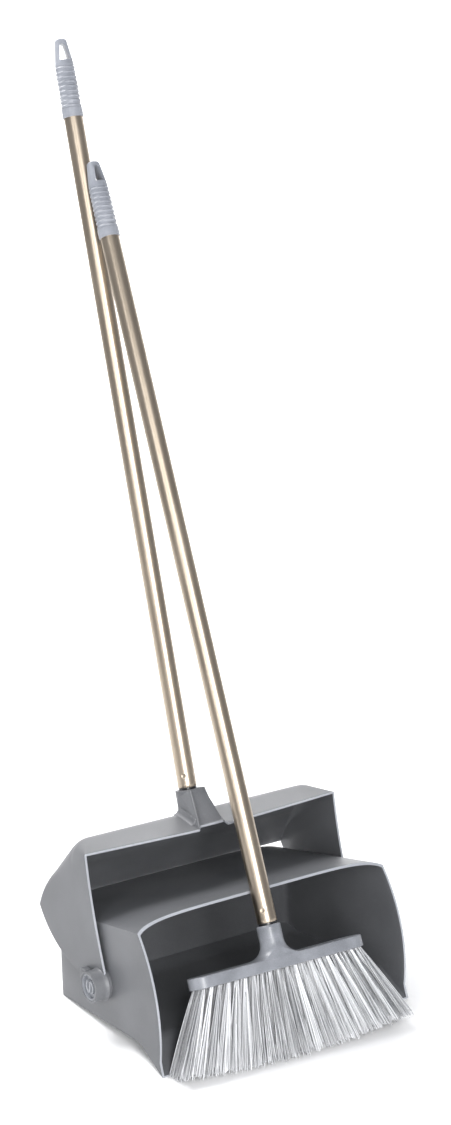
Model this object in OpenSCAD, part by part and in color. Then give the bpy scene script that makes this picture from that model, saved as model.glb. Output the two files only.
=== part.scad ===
// Upright dustpan with a hooded swing pan, and its angled broom, both on long tube handles.
// Millimetres, +Z up. X runs across the pan, Y from its mouth to its back.
// The origin is under the middle of the pan's lip, on the floor.

/* [Pan] */
// Outside width of the pan at its mouth
pan_w = 330; // [290:1:400]
// How far each side draws in from the mouth to the back
pan_draw_in = 6; // [0:0.5:10]
// Depth from the lip to the top of the back
pan_depth = 252.5; // [235:0.5:300]
// Height of the mouth's top edge
mouth_h = 154.5; // [135:0.5:165]
// Height of the back
back_h = 105; // [90:0.5:115]
// Radius of the mouth's edge, seen from the side
mouth_r = 170; // [150:1:220]
// Wall of the pan
pan_wall = 2.5; // [2:0.1:3.5]
// How far the crown drops at the shoulders
crown_drop = 16; // [8:0.5:24]
// Distance from the lip to the sill
sill_y = 47; // [35:1:60]
// Height of the sill's underside
sill_h = 19.5; // [8:0.5:24]
// Distance from the lip to the back of the heel
heel_y = 230; // [215:1:234]
// Width of the flat strips that stand on the floor
rest_flat = 4; // [3:0.5:8]

/* [Hood] */
// Wall of the hood
hood_wall = 2.5; // [2:0.1:3.5]
// Height of the hood's ridge
ridge_h = 202.5; // [195:0.5:225]
// Distance from the lip to the ridge
ridge_y = 191; // [180:0.5:200]
// Distance from the lip to the hood's rim, at the sides
rim_y = 150.5; // [140:0.5:165]
// How far the rim bows forward at the middle
rim_bow = 12; // [0:0.5:20]
// Gap between the pan and the hood, at each side
side_gap = 1.5; // [1:0.1:3]
// Gap between the pan's back and the hood's back as the pan swings
swing_gap = 0.9; // [0.5:0.1:3]
// Radius of the ridge's end corners
ridge_corner_r = 27; // [10:1:30]

/* [Pivot] */
// Distance from the lip to the pivot
pivot_y = 122; // [115:0.5:130]
// Height of the pivot
pivot_h = 58; // [50:0.5:64]
// Outside diameter of the ring on each side of the hood
ring_d = 35; // [32:0.5:42]
// How far the ring stands out from the hood
ring_out = 14.5; // [8:0.5:18]
// Diameter of the pivot pin's barrel
pin_d = 30; // [24:0.5:31]
// Running clearance round the pin, on the radius
pin_clear = 0.06; // [0.03:0.01:0.1]
// Diameter of the pin's stem in the pan
stem_d = 14; // [10:0.5:20]

/* [Handles] */
// Outside diameter of both tubes
tube_d = 22; // [20:0.5:24]
// Wall of both tubes
tube_wall = 1.2; // [0.8:0.1:2]
// Lean of the dustpan's handle from upright
pan_lean = 17.8; // [12:0.1:22]
// Length of the dustpan's tube
pan_tube_l = 835; // [600:1:1000]
// Length of the broom's tube
broom_tube_l = 843; // [500:1:845]
// Diameter of the socket on the hood
socket_d = 30; // [28:0.5:36]
// Height of the socket's mouth above the ridge, along the handle
socket_up = 20; // [12:0.5:30]

/* [Grips] */
// Length of a grip
grip_l = 91.5; // [84:0.5:110]
// How far a grip stands out from its tube
grip_wall = 1.2; // [1:0.1:2]
// Number of rings round a grip
grip_rings = 9; // [4:1:9]
// Width of a grip's loop at its top
loop_w = 14; // [12:0.5:18]
// Thickness of a grip's loop at its top
loop_t = 11; // [8:0.5:14]
// Turn of the dustpan's grip on its handle
pan_grip_turn = -18; // [-90:1:90]

/* [Broom] */
// Where the broom's axis meets the floor, across the pan
broom_x = -15.3; // [-30:0.1:30]
// Where the broom's axis meets the floor, in front of the lip
broom_y = -37; // [-60:0.5:-33]
// Turn of the broom's lean to the side
broom_side = 2.5; // [-4:0.1:4]
// Turn of the broom's head on its handle
head_turn = -3; // [-8:0.5:8]
// Length of the head
head_l = 214; // [196:1:240]
// Width of the head
head_w = 32; // [28:0.5:38]
// Thickness of the head
head_t = 12.7; // [11:0.1:16]
// Height of the neck above the head
neck_h = 35; // [28:0.5:45]
// Diameter of the neck at its top
neck_d = 27; // [24:0.5:30]
// Length of the middle bristles below the head
bristle_l = 93.3; // [85:0.1:110]
// Number of tufts in a row
tufts = 20; // [12:1:20]
// Distance between tufts
tuft_pitch = 10.2; // [7:0.1:10.4]
// Diameter of a tuft where it leaves the head
tuft_d = 5; // [4:0.1:6]
// How much wider than the head's tufts the row of tips is
fan = 1.48; // [1:0.01:1.6]

/* [Hidden] */
$fn = 64;

seat_gap = 0.3;
press_fit = 0.05;
eps = 0.01;
far = 500;

// Pan: side outline, from the lip round the heel and back to the mouth
lip_t = 1.2;
heel_flat = 8;
back_knee_h = 63;
back_knee_y = heel_y + 3;
foot_z = 30;
foot_y = 3.5;
foot_low = 14;
arc_steps = 14;
far_front = far / 5; // well in front of everything

// Floor inside the pan: where it stops falling, and its height above the wall there and at the back
fall_end = 20;
fall_end_h = 1.5;
heel_in_h = 4;

// Front edge of the pan's side at height z
function mouth_y(z) = foot_y + mouth_r - sqrt(mouth_r * mouth_r - pow(z - foot_z, 2));

mouth_top_y = mouth_y(mouth_h);
top_slope = atan2(mouth_h - back_h, pan_depth - mouth_top_y);
function top_h(y) = mouth_h - (y - mouth_top_y) * tan(top_slope);

function pan_outline() = concat(
    [[-rest_flat / 2, 0], [rest_flat / 2, 0], [sill_y, sill_h], [heel_y - heel_flat, 0], [heel_y, 0],
        [back_knee_y, back_knee_h], [pan_depth, back_h]],
    [for (i = [arc_steps:-1:0])
        let (z = foot_low + (mouth_h - foot_low) * i / arc_steps) [mouth_y(z), z]],
    [[-rest_flat / 2, lip_t]]);

function bin_outline(w) = [
    [-far_front, lip_t], [-rest_flat / 2, lip_t], [sill_y, sill_h + w],
    [heel_y - heel_flat - fall_end, w + fall_end_h], [heel_y - w, w + heel_in_h],
    [back_knee_y - w, back_knee_h], [pan_depth - w, top_h(pan_depth - w) - w / cos(top_slope)],
    [-far_front, top_h(-far_front) - w / cos(top_slope)]];

// Half width of the pan, y behind its lip
function half_w(y) = pan_w / 2 - pan_draw_in * max(y, 0) / pan_depth;

back_corner_r = 14;
pan_half_back = half_w(pan_depth);

function plan_outline(inset) =
    let (r = back_corner_r - inset, cx = pan_half_back - back_corner_r, cy = pan_depth - back_corner_r)
    concat(
        [[-pan_w / 2 + inset, -far / 4], [pan_w / 2 - inset, -far / 4], [pan_w / 2 - inset, 0]],
        [for (a = [0:15:90]) [cx + r * cos(a), cy + r * sin(a)]],
        [for (a = [90:15:180]) [-cx + r * cos(a), cy + r * sin(a)]],
        [[-pan_w / 2 + inset, 0]]);

// Cross section of the pan's top: nearly flat, with soft shoulders
crown_steps = 14;
crown_over = 1.5;
crown_power = 1 / 3;
function crown_outline(inset) =
    let (a = pan_w / 2 + crown_over - inset, b = crown_drop)
    concat(
        [[-a, -far / 2]],
        [for (i = [-crown_steps:crown_steps]) let (t = 90 * i / crown_steps)
            [sign(t) * a * pow(abs(sin(t)), crown_power), b * (cos(t) - 1) - inset]],
        [[a, -far / 2]]);

// Hood
hood_in = pan_w / 2 + side_gap;
hood_out = hood_in + hood_wall;
back_in_r = norm([pan_depth - pivot_y, back_h - pivot_h]) + swing_gap;
back_out_r = back_in_r + hood_wall;
back_low_a = 18.7;
back_high_a = 43.6;
ridge_rise = 1.7;
rim_h = ridge_h - ridge_rise;
rim_step = 0.1; // the bowed part of the rim lies this far below the rest
rim_bend = [-11.5, -61]; // from the rim to the bend of the plate's front edge
low_bend = [100, -4]; // from the pivot to the bend of its lower edge
lug = [10, 14, 13];
lobe_r = ring_d / 2 - 0.5;
back_dir = [cos(back_high_a), sin(back_high_a)];
back_turn_y = pivot_y + back_out_r * back_dir[0];
back_turn_h = pivot_h + back_out_r * back_dir[1];
back_slope = atan2(ridge_h - back_turn_h, back_turn_y - ridge_y);

function bend(p0, p1, p2, n) = [for (i = [0:n]) let (t = i / n)
    (1 - t) * (1 - t) * p0 + 2 * t * (1 - t) * p1 + t * t * p2];
function round_pivot(r, a) = [pivot_y + r * cos(a), pivot_h + r * sin(a)];

function hood_side_outline() = concat(
    bend([rim_y, rim_h], [rim_y, rim_h] + rim_bend, round_pivot(lobe_r, 135), 8),
    [for (a = [150:15:330]) round_pivot(lobe_r, a)],
    bend(round_pivot(lobe_r, 340), [pivot_y, pivot_h] + low_bend, round_pivot(back_out_r, back_low_a), 8),
    [for (i = [1:8]) round_pivot(back_out_r, back_low_a + (back_high_a - back_low_a) * i / 8)],
    [[ridge_y, ridge_h]]);

function hood_space_outline() = concat(
    [[-far_front, -far_front], [pivot_y + back_in_r, -far_front]],
    [for (i = [0:12]) round_pivot(back_in_r, back_high_a * i / 12)],
    [[ridge_y - ridge_rise, ridge_h - hood_wall], [rim_y, rim_h - hood_wall],
        [-far_front, rim_h - hood_wall]]);

corner_over = 1.5;
function corner_outline(inset) =
    let (r = ridge_corner_r - inset, cx = hood_out - ridge_corner_r, top = corner_over)
    concat(
        [[-hood_out + inset, -far]],
        [for (a = [180:-10:90]) [-cx + r * cos(a), top - ridge_corner_r + r * sin(a)]],
        [for (a = [90:-10:0]) [cx + r * cos(a), top - ridge_corner_r + r * sin(a)]],
        [[hood_out - inset, -far]]);

// Pivot
boss_end = hood_in - seat_gap;
boss_start = half_w(pivot_y) - 1;
stem_skin = 1;
stem_l = boss_end - half_w(pivot_y) + pan_wall - stem_skin;
ring_end = hood_out + ring_out;
ring_start = hood_in + 1; // inside the plate, so that the ring grows out of it
pin_face = ring_end - 1.2;

// Handles: a place along an axis is measured from its foot
plug_d = tube_d - 2 * tube_wall - 2 * press_fit;
thread_d = 19;
thread_clear = 0.15;
thread_l = 26;
thread_deep = 0.75;
thread_pitch = 5;
plug_rim = 0.8; // the collar is this much less than the tube, on the radius
collar_l = 2.4;
plug_in_l = 32;
crimp_up = 14;
crimp_r = 2.6;
crimp_deep = 0.7;
pan_handle_y = ridge_y + 8; // the handle's axis at the height of the ridge
socket_h = ridge_h + socket_up;
socket_l = 36;
socket_foot_h = rim_h - 1.5;

// Notch in the rim in front of the socket, with a web along each side of it
notch_left = -25.5;
notch_right = 12;
notch_l = 10;
left_web_turn = 27;
right_web_turn = 5;
web_t = 2.5;
web_h = 34; // the webs are made this high, and cut off along the socket's mouth
socket_front_y = pan_handle_y - 6;

// Grips
grip_d = tube_d + 2 * grip_wall;
grip_clear = 0.1;
grip_sleeve_l = 57;
ring_pitch = 5.5;
ring_first = 13;
loop_start = 66;
slot_low = 66;
slot_l = 19;
slot_low_w = 15;
slot_high_w = 7.5;
bead_r = 1.6;
bead_in = 1.8; // from the grip's outside to the middle of a bead
bead_step = 0.05; // each bead is this much smaller than the one below
taper_start = loop_start - 6;
loop_round = 4;
loop_top_r = 1.6; // radius of the loop's top, as a share of its half width
grip_up = grip_sleeve_l - 1; // a grip's lower end is this far below its tube's top

// Broom
head_low = bristle_l;
lean_gap = 0.2;
sleeve_in = 0.75; // the sleeve behind the beads is this much less than the grip, on the radius
neck_low = head_low + head_t;
neck_high = neck_low + neck_h;
rows = 4;
row_pitch = 7;
row_fan = 1.25;
tuft_tip_d = 6.9;
tuft_l = bristle_l + 1.5; // the tufts are trimmed square to the handle, and those behind rest on the floor
tuft_hole_depth = 9;
tuft_in = 8;
tuft_clear = 0.1;
tuft_root_d = tuft_d - 2 * tuft_clear;
tuft_open = 3; // a tuft starts to widen this far below the head
anchor = [4.2, 1.6, 0.4];

// The broom leans until the top of its grip rests on the dustpan's tube
socket_mouth_y = pan_handle_y + socket_up * tan(pan_lean);
rest_up = neck_high + collar_l + broom_tube_l - grip_up + taper_start;
rest_apart = grip_d / 2 - sleeve_in + tube_d / 2 + lean_gap;
broom_lean = pan_lean - asin((rest_apart + cos(pan_lean) * (broom_y - socket_mouth_y)
    + sin(pan_lean) * socket_h) / rest_up);

module along_x(w) {
    rotate([90, 0, 90])
        linear_extrude(w, center = true)
            children();
}

module along_slope(y, z, slope) {
    translate([0, y, z])
        rotate([90 - slope, 0, 0])
            linear_extrude(2 * far, center = true)
                children();
}

// The pan's outer form, or the space inside it
module pan_form(inset) {
    intersection() {
        along_x(2 * pan_w)
            if (inset == 0) polygon(pan_outline());
            else polygon(bin_outline(inset));
        translate([0, 0, -far / 2])
            linear_extrude(far)
                polygon(plan_outline(inset));
        along_slope(mouth_top_y, mouth_h, top_slope)
            polygon(crown_outline(inset));
    }
}

module pan() {
    color([0.36, 0.37, 0.39])
        difference() {
            union() {
                difference() {
                    pan_form(0);
                    pan_form(pan_wall);
                }
                for (s = [-1, 1])
                    translate([s * boss_start, pivot_y, pivot_h])
                        rotate([0, s * 90, 0])
                            cylinder(d = ring_d - 1, h = boss_end - boss_start);
            }
            for (s = [-1, 1])
                translate([s * (boss_end - stem_l), pivot_y, pivot_h])
                    rotate([0, s * 90, 0])
                        cylinder(d = stem_d, h = stem_l + 1);
        }
}

// Pivot pin: a stem pressed into the pan and a barrel that turns in the hood's ring
module pivot_pin(side) {
    recess = 3;
    rim = 2;
    key_r = 6.4;
    key_w = 2.8;
    key_h = recess - 0.6;
    slot_w = 6;
    color([0.42, 0.43, 0.46])
        translate([0, pivot_y, pivot_h])
            rotate([0, side * 90, 0]) {
                translate([0, 0, boss_end - stem_l + 0.1])
                    cylinder(d = stem_d - 2 * press_fit, h = stem_l);
                difference() {
                    translate([0, 0, boss_end])
                        cylinder(d = pin_d, h = pin_face - boss_end);
                    translate([0, 0, pin_face - recess])
                        cylinder(d = pin_d - 2 * rim, h = recess + 1);
                }
                translate([0, 0, pin_face - recess - eps]) {
                    difference() {
                        cylinder(r = key_r + 2, h = key_h);
                        translate([0, 0, -1]) cylinder(r = key_r - 1, h = recess + 2);
                        translate([0, -1.6, -1]) cube([2 * key_r, slot_w, recess + 2]);
                        translate([-2 * key_r, 1.6 - slot_w, -1]) cube([2 * key_r, slot_w, recess + 2]);
                    }
                    translate([-key_r, -key_w / 2, 0]) cube([2 * key_r, key_w, key_h]);
                }
            }
}

// Places the children on the dustpan's handle, with Z along it and Z = 0 at the socket's mouth
module on_pan_handle() {
    translate([0, socket_mouth_y, socket_h])
        rotate([-pan_lean, 0, 0])
            children();
}

// Places the children on the broom's handle, with Z = 0 where it meets the floor
module on_broom() {
    translate([broom_x, broom_y, 0])
        rotate([0, 0, -broom_side])
            rotate([-broom_lean, 0, 0])
                children();
}

module hood_shell() {
    difference() {
        intersection() {
            union() {
                along_x(2 * hood_out)
                    polygon(hood_side_outline());
                translate([0, 0, rim_h - 2 * hood_wall])
                    linear_extrude(2 * hood_wall - rim_step)
                        polygon([[-hood_in - 1, rim_y + 1], [0, rim_y - rim_bow], [hood_in + 1, rim_y + 1],
                            [hood_in - 1, rim_y + rim_bow], [1 - hood_in, rim_y + rim_bow]]);
            }
            along_slope(ridge_y, ridge_h, back_slope)
                polygon(corner_outline(0));
        }
        intersection() {
            along_x(2 * hood_in)
                polygon(hood_space_outline());
            along_slope(ridge_y, ridge_h, back_slope)
                polygon(corner_outline(hood_wall));
        }
    }
}

// A web beside the socket, from the rim up to its mouth; turn leans it in towards the socket
module socket_web(x, turn, edge) {
    translate([x, 0, socket_foot_h])
        rotate([0, turn, 0])
            along_x(web_t)
                polygon(concat(edge, [[socket_front_y, web_h], [pan_handle_y + web_t, web_h],
                    [pan_handle_y - web_t, web_t]]));
}

// Sloping panel between the webs, from the back of the notch up to the socket's mouth
module socket_panel() {
    notch_y = rim_y - rim_bow + notch_l;
    top = socket_foot_h + web_h * cos(left_web_turn);
    intersection() {
        along_x(far)
            polygon([[notch_y, socket_foot_h], [notch_y, rim_h], [socket_front_y, top],
                [pan_handle_y, top], [pan_handle_y - web_t, socket_foot_h]]);
        translate([0, far / 2, 0])
            rotate([90, 0, 0])
                linear_extrude(far)
                    polygon([[notch_left, socket_foot_h], [notch_left + web_h * sin(left_web_turn), top],
                        [notch_right + web_h * sin(right_web_turn), top], [notch_right, socket_foot_h]]);
    }
}

// Socket for the handle: a round boss through the hood's ridge, with a web on each side
module socket_outside() {
    on_pan_handle()
        translate([0, 0, -socket_l])
            cylinder(d = socket_d, h = socket_l);
    intersection() {
        on_pan_handle()
            translate([-far / 2, -far / 2, -far])
                cube([far, far, far]);
        union() {
            socket_panel();
            socket_web(notch_left, left_web_turn, [[rim_y - rim_bow + 3, 0], [rim_y - rim_bow + 4, 2]]);
            socket_web(notch_right, right_web_turn,
                [[rim_y - rim_bow + 5, 0], [rim_y - rim_bow + 13, 5], [rim_y + 15, 14]]);
        }
    }
}

module hood() {
    color([0.36, 0.37, 0.39])
        difference() {
            union() {
                difference() {
                    hood_shell();
                    translate([notch_left, rim_y - rim_bow - 5, rim_h - 10])
                        cube([notch_right - notch_left, notch_l + 5, 20]);
                }
                socket_outside();
                for (s = [-1, 1])
                    translate([s * ring_start, pivot_y, pivot_h])
                        rotate([0, s * 90, 0])
                            cylinder(d = ring_d, h = ring_end - ring_start);
                // Stop lug behind each ring
                for (s = [-1, 1])
                    translate([s * (hood_out + 4), pivot_y + ring_d / 2 + 4, pivot_h + 4.5])
                        cube(lug, center = true);
            }
            for (s = [-1, 1])
                translate([s * (hood_in - 1), pivot_y, pivot_h])
                    rotate([0, s * 90, 0])
                        cylinder(r = pin_d / 2 + pin_clear, h = ring_end - hood_in + 2);
            on_pan_handle()
                translate([0, 0, -thread_l - 1])
                    cylinder(r = thread_d / 2 + thread_clear, h = thread_l + 2);
        }
}

// Threaded plug crimped into a tube's lower end; Z = 0 is the underside of its collar
module handle_plug() {
    cylinder(d = tube_d - 2 * plug_rim, h = collar_l);
    translate([0, 0, -thread_l])
        cylinder(d = thread_d - 2 * thread_deep, h = thread_l);
    for (i = [0:4])
        translate([0, 0, -thread_l + 1.5 + thread_pitch * i])
            cylinder(d = thread_d, h = thread_pitch / 2);
    difference() {
        cylinder(d = plug_d, h = collar_l + plug_in_l);
        crimps(collar_l + crimp_up, plug_d / 2 + tube_wall + press_fit, 0.3);
    }
}

// Four dents round a tube
module crimps(z, r, extra) {
    for (a = [45:90:315])
        rotate([0, 0, a])
            translate([r + crimp_r - crimp_deep - extra, 0, z])
                sphere(r = crimp_r + extra, $fn = 24);
}

module handle_tube(l) {
    difference() {
        cylinder(d = tube_d, h = l);
        translate([0, 0, -1])
            cylinder(d = tube_d - 2 * tube_wall, h = l + 2);
        crimps(crimp_up, tube_d / 2, 0);
    }
}

// Hand grip with rings and a hanging loop; Z = 0 is its lower end
module handle_grip() {
    difference() {
        intersection() {
            union() {
                cylinder(d = grip_d, h = ring_first - 2);
                cylinder(d1 = grip_d - bead_in / 2, d2 = grip_d - bead_in, h = grip_l);
                for (i = [0:grip_rings - 1])
                    translate([0, 0, ring_first + ring_pitch * i])
                        rotate_extrude()
                            translate([grip_d / 2 - bead_in - bead_step * i, 0])
                                circle(r = bead_r, $fn = 24);
            }
            rotate([90, 0, 0])
                linear_extrude(2 * grip_d, center = true)
                    loop_outline(grip_d / 2, loop_w / 2);
            rotate([90, 0, 90])
                linear_extrude(2 * grip_d, center = true)
                    loop_outline(grip_d / 2, loop_t / 2);
        }
        translate([0, 0, -1])
            cylinder(r = tube_d / 2 + grip_clear, h = grip_sleeve_l + 1);
        rotate([90, 0, 0])
            linear_extrude(2 * grip_d, center = true)
                hang_slot();
    }
}

// Side view of a grip that narrows from half width a to half width b at its top
module loop_outline(a, b) {
    top_r = loop_top_r * b;
    polygon([[-a, -1], [a, -1], [a, taper_start], [b, grip_l - loop_round],
        [-b, grip_l - loop_round], [-a, taper_start]]);
    translate([0, grip_l - loop_round])
        intersection() {
            translate([0, loop_round - top_r]) circle(r = top_r);
            translate([-b, -eps]) square([2 * b, loop_round + eps]);
        }
}

module hang_slot() {
    high = slot_low + slot_l - slot_high_w / 2;
    translate([0, high])
        circle(d = slot_high_w, $fn = 32);
    polygon([[-slot_low_w / 2, slot_low + 1], [-slot_low_w / 2 + 1, slot_low],
        [slot_low_w / 2 - 1, slot_low], [slot_low_w / 2, slot_low + 1],
        [slot_high_w / 2, high], [-slot_high_w / 2, high]]);
}

module pan_handle_plug() {
    color([0.06, 0.06, 0.06])
        on_pan_handle()
            translate([0, 0, eps])
                handle_plug();
}

module pan_handle_tube() {
    color([0.72, 0.66, 0.57])
        on_pan_handle()
            translate([0, 0, collar_l + eps])
                handle_tube(pan_tube_l);
}

module pan_handle_grip() {
    color([0.6, 0.62, 0.66])
        on_pan_handle()
            translate([0, 0, collar_l + pan_tube_l - grip_up])
                rotate([0, 0, pan_grip_turn])
                    handle_grip();
}

module broom_handle_plug() {
    color([0.06, 0.06, 0.06])
        on_broom()
            translate([0, 0, neck_high + eps])
                handle_plug();
}

module broom_handle_tube() {
    color([0.72, 0.66, 0.57])
        on_broom()
            translate([0, 0, neck_high + collar_l + eps])
                handle_tube(broom_tube_l);
}

module broom_handle_grip() {
    color([0.6, 0.62, 0.66])
        on_broom()
            translate([0, 0, neck_high + collar_l + broom_tube_l - grip_up])
                handle_grip();
}

// Places the children on tuft i of row j, with Z = 0 at the head's underside and Z down the tuft
module on_tuft(i, j) {
    x = (i - (tufts - 1) / 2) * tuft_pitch;
    y = (j - (rows - 1) / 2) * row_pitch;
    ax = atan2(x * (fan - 1), bristle_l);
    ay = atan2(y * (row_fan - 1), bristle_l);
    translate([x, y, head_low])
        rotate([180 + ay, -ax, 0])
            children();
}

module head_body() {
    half = head_l / 2 - head_w / 2;
    translate([0, 0, head_low]) {
        translate([-half, -head_w / 2, 0])
            cube([2 * half, head_w, head_t]);
        for (s = [-1, 1])
            translate([s * half, 0, 0])
                cylinder(d = head_w, h = head_t);
    }
}

// Neck: straight at its top, flaring in a quarter arc down to the head, and no wider than the head
module neck() {
    flare_r = 17;
    steps = 8;
    top_bevel = 1.2;
    translate([0, 0, neck_low - eps])
        intersection() {
            rotate_extrude()
                polygon(concat(
                    [[0, 0]],
                    [for (k = [0:steps]) let (a = 270 - 90 * k / steps)
                        [neck_d / 2 + flare_r + flare_r * cos(a), flare_r + flare_r * sin(a)]],
                    [[neck_d / 2, neck_h - 2], [neck_d / 2 - top_bevel, neck_h], [0, neck_h]]));
            translate([-head_w, 1 - head_w / 2, -1])
                cube([2 * head_w, head_w - 2, neck_h + 2]);
        }
}

module broom_head() {
    color([0.55, 0.57, 0.61])
        on_broom()
            rotate([0, 0, head_turn])
                difference() {
                    union() {
                        head_body();
                        neck();
                    }
                    translate([0, 0, neck_high - thread_l - 1])
                        cylinder(r = thread_d / 2 + thread_clear, h = thread_l + 2);
                    for (i = [0:tufts - 1])
                        for (j = [0:rows - 1])
                            on_tuft(i, j)
                                translate([0, 0, -tuft_hole_depth])
                                    cylinder(d = tuft_d, h = tuft_hole_depth + tuft_open);
                }
}

module bristles_row(j) {
    color([0.7, 0.72, 0.75])
        intersection() {
            on_broom()
                rotate([0, 0, head_turn])
                    for (i = [0:tufts - 1])
                        on_tuft(i, j) {
                            translate([0, 0, -tuft_in])
                                cylinder(d = tuft_root_d, h = tuft_in + tuft_open);
                            translate([0, 0, tuft_open - 0.1])
                                cylinder(d1 = tuft_root_d, d2 = tuft_tip_d, h = tuft_l - tuft_open);
                        }
            translate([-far, -far, 0])
                cube(2 * far);
        }
}

module tuft_anchors() {
    color([0.75, 0.7, 0.5])
        on_broom()
            rotate([0, 0, head_turn])
                for (i = [0:tufts - 1])
                    for (j = [0:rows - 1])
                        on_tuft(i, j)
                            translate([0, 0, -tuft_in - seat_gap])
                                cube(anchor, center = true);
}

pan();
pivot_pin(-1);  // pivot_pin_left
pivot_pin(1);  // pivot_pin_right
hood();
pan_handle_plug();
pan_handle_tube();
pan_handle_grip();
broom_head();
bristles_row(0);  // bristles_row_1
bristles_row(1);  // bristles_row_2
bristles_row(2);  // bristles_row_3
bristles_row(3);  // bristles_row_4
tuft_anchors();
broom_handle_plug();
broom_handle_tube();
broom_handle_grip();
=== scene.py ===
import math
import random

import bmesh
import bpy
import numpy as np
from mathutils import Matrix, Vector


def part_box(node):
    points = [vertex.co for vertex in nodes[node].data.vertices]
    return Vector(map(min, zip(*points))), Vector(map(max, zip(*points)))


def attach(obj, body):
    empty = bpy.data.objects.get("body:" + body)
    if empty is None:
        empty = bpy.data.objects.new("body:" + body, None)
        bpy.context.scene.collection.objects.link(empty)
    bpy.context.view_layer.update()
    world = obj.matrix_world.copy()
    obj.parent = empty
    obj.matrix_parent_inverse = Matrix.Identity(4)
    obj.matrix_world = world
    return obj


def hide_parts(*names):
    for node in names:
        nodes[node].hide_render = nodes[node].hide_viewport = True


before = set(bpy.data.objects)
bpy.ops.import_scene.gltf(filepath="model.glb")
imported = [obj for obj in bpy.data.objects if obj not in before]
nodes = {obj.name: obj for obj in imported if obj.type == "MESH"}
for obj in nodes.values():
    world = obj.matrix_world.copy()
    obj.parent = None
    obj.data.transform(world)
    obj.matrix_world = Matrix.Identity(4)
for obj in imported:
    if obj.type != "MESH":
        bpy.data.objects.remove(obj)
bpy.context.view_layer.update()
mm = 0.001

class Value:
    def __init__(self, finish, socket):
        self.finish = finish
        self.socket = socket

    def _mix(self, operation, other, flipped=False):
        pair = (other, self) if flipped else (self, other)
        return self.finish.node("ShaderNodeMath", {"operation": operation}, {0: pair[0], 1: pair[1]})

    def __add__(self, other): return self._mix("ADD", other)
    def __radd__(self, other): return self._mix("ADD", other, True)
    def __sub__(self, other): return self._mix("SUBTRACT", other)
    def __rsub__(self, other): return self._mix("SUBTRACT", other, True)
    def __mul__(self, other): return self._mix("MULTIPLY", other)
    def __rmul__(self, other): return self._mix("MULTIPLY", other, True)


class Finish:
    def __init__(self, name):
        self.material = bpy.data.materials.new(name)
        self.material.use_nodes = True
        self.tree = self.material.node_tree
        self.shader = self.tree.nodes["Principled BSDF"]

    def node(self, kind, settings=None, values=None, output=0):
        made = self.tree.nodes.new(kind)
        for key, setting in (settings or {}).items():
            if key == "stops":
                ramp = made.color_ramp
                while len(ramp.elements) < len(setting):
                    ramp.elements.new(1)
                for element, (place, colour) in zip(ramp.elements, setting):
                    element.position = place
                    element.color = colour
            else:
                setattr(made, key, setting)
        for key, value in (values or {}).items():
            if isinstance(value, Value):
                self.tree.links.new(value.socket, made.inputs[key])
            else:
                made.inputs[key].default_value = value
        return Value(self, made.outputs[output])

    def place(self, scale=(1, 1, 1)):
        spot = self.node("ShaderNodeTexCoord", output=3)
        return self.node("ShaderNodeMapping", {}, {0: spot, 3: scale})

    def noise(self, scale, detail=3, stretch=(1, 1, 1), roughness=0.5):
        values = {"Vector": self.place(stretch), "Scale": scale, "Detail": detail, "Roughness": roughness}
        return self.node("ShaderNodeTexNoise", {}, values)

    def window(self, value, low, high):
        return self.node("ShaderNodeMapRange", {"clamp": True}, {0: value, 1: low, 2: high, 3: 0.0, 4: 1.0})

    def blend(self, factor, first, second):
        return self.node("ShaderNodeMix", {"data_type": "RGBA"}, {0: factor, 6: first, 7: second}, 2)

    def set(self, **sockets):
        for name, value in sockets.items():
            socket = self.shader.inputs[name.replace("_", " ")]
            if isinstance(value, Value):
                self.tree.links.new(value.socket, socket)
            else:
                socket.default_value = value
        return self

    def bump(self, height, distance, strength=1.0):
        return self.node("ShaderNodeBump", {}, {"Height": height, "Distance": distance, "Strength": strength})


mouldedLook = {"dark": (0.098, 0.101, 0.108, 1), "light": (0.128, 0.132, 0.141, 1), "grain": 900, "rough": 0.42}


def makeMoulded(name, look):
    # Satin moulded plastic: fine grain, faint cloudy tone and small scuffs
    finish = Finish(name)
    cloud = finish.noise(look.get("cloud", 9), 4)
    grain = finish.noise(look["grain"], 2)
    scuff = finish.window(finish.noise(60, 6, (1, 1, 4), 0.7), 0.62, 0.74)
    tone = finish.window(cloud * 0.7 + grain * 0.3, 0.38, 0.62)
    colour = finish.blend(tone, look["dark"], look["light"])
    worn = finish.blend(scuff * look.get("wear", 0.12), colour, look.get("scuffed", (0.3, 0.31, 0.33, 1)))
    finish.set(Base_Color=worn, Roughness=look["rough"] + grain * 0.1 + scuff * 0.12 - cloud * 0.06,
               Normal=finish.bump(grain + scuff * 0.4, look.get("depth", 0.00006)))
    finish.set(IOR=1.49, Specular_IOR_Level=look.get("specular", 0.5))
    return finish.material


tubeLook = {"pale": (0.50, 0.43, 0.345, 1), "deep": (0.36, 0.30, 0.235, 1), "rough": 0.29}


def makeTubeMetal(look):
    # Champagne anodised tube: fine lines drawn along it and soft patches of handling
    finish = Finish("tubeMetal")
    lines = finish.noise(1500, 2, (1, 1, 0.02))
    patches = finish.noise(22, 5, (1, 1, 0.4))
    rubbed = finish.window(patches, 0.5, 0.7)
    colour = finish.blend(lines * 0.5 + patches * 0.5, look["deep"], look["pale"])
    finish.set(Base_Color=colour, Metallic=1.0, Roughness=look["rough"] + lines * 0.08 + rubbed * 0.07,
               Normal=finish.bump(lines, 0.00001))
    return finish.material


fibreLook = {"dark": (0.12, 0.124, 0.134, 1), "light": (0.86, 0.87, 0.89, 1), "rough": 0.26}


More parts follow.
